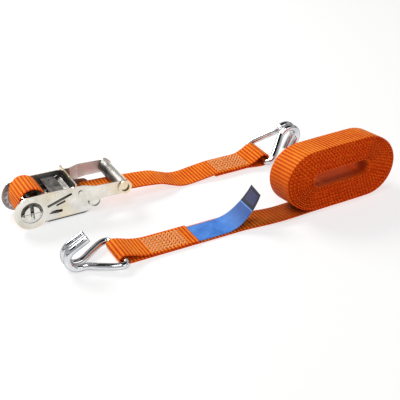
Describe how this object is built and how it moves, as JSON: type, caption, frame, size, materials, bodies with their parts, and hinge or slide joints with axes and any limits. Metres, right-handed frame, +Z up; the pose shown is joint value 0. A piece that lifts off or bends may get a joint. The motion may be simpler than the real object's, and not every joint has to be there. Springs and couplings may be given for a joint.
{
  "type": "ratchet tie down",
  "caption": "Two-part webbing lashing strap with a hand ratchet on a short strap, a long strap wound in a coil, and claw hooks.",
  "frame": {"origin": "middle of the bounding box's base, on the surface that everything lies on", "axes": "+X along the straps from the ratchet towards the coil, +Y from the long strap towards the short strap, +Z up"},
  "size_m": [0.5756, 0.2436, 0.1051],
  "materials": {
    "zinc_steel": "bright zinc plate, slightly warm, scuffed",
    "hook_steel": "bright plated wire",
    "spring_steel": "plain drawn wire",
    "webbing": "ribbed orange polyester weave",
    "label": "blue coated label with a darker end"
  },
  "bodies": {
    "frame": {"frame_side_near": "zinc_steel", "frame_side_far": "zinc_steel", "frame_floor": "zinc_steel", "lock_spring_seat": "zinc_steel", "tie_bolt": "zinc_steel", "tie_bolt_nut": "zinc_steel", "lock_spring": "spring_steel", "short_strap": "webbing", "short_strap_loop": "webbing", "strap_tail": "webbing"},
    "spool": {"spindle_half_left": "zinc_steel", "spindle_half_right": "zinc_steel", "ratchet_wheel_near": "zinc_steel", "ratchet_wheel_far": "zinc_steel", "split_pin_near": "spring_steel", "split_pin_far": "spring_steel"},
    "handle": {"handle_arm_near": "zinc_steel", "handle_arm_far": "zinc_steel", "arm_rivet_near": "zinc_steel", "arm_rivet_far": "zinc_steel", "handle_bridge": "zinc_steel", "grip_tube": "zinc_steel", "grip_shroud": "zinc_steel", "drive_spring": "spring_steel"},
    "drive_pawl": {"drive_pawl": "zinc_steel"},
    "lock_pawl": {"lock_pawl": "zinc_steel"},
    "rear_hook": {"rear_hook": "hook_steel"},
    "long_strap": {"long_strap": "webbing", "strap_coil": "webbing", "label": "label"},
    "front_hook": {"front_hook": "hook_steel"}
  },
  "joints": [
    {"name": "handle_swing", "type": "hinge", "parent": "frame", "child": "handle", "pos_m": [-0.26086, 0.07882, 0.027], "axis": [0, -1, 0], "range_deg": [0, 165], "deforming": ["strap_tail"]},
    {"name": "spool_turn", "type": "hinge", "parent": "frame", "child": "spool", "pos_m": [-0.26086, 0.07882, 0.027], "axis": [0, -1, 0], "continuous": true},
    {"name": "drive_pawl_slide", "type": "slide", "parent": "handle", "child": "drive_pawl", "axis": [0.9535, 0, 0.3015], "range_m": [0, 0.007], "stiffness_N_per_m": 600, "springref_m": -0.004, "deforming": ["drive_spring"]},
    {"name": "lock_pawl_slide", "type": "slide", "parent": "frame", "child": "lock_pawl", "axis": [0.9966, 0, -0.0819], "range_m": [0, 0.0042], "stiffness_N_per_m": 600, "springref_m": -0.004, "deforming": ["lock_spring"]},
    {"name": "rear_hook_swing", "type": "hinge", "parent": "frame", "child": "rear_hook", "pos_m": [0.14824, 0.07882, 0.0096], "axis": [0, -1, 0], "range_deg": [0, 90]},
    {"name": "long_strap_apart", "type": "slide", "parent": "frame", "child": "long_strap", "axis": [0, -1, 0], "range_m": [0, 0.05]},
    {"name": "front_hook_swing", "type": "hinge", "parent": "long_strap", "child": "front_hook", "pos_m": [-0.17936, -0.08218, 0.0089], "axis": [0, 1, 0], "range_deg": [0, 95]}
  ]
}
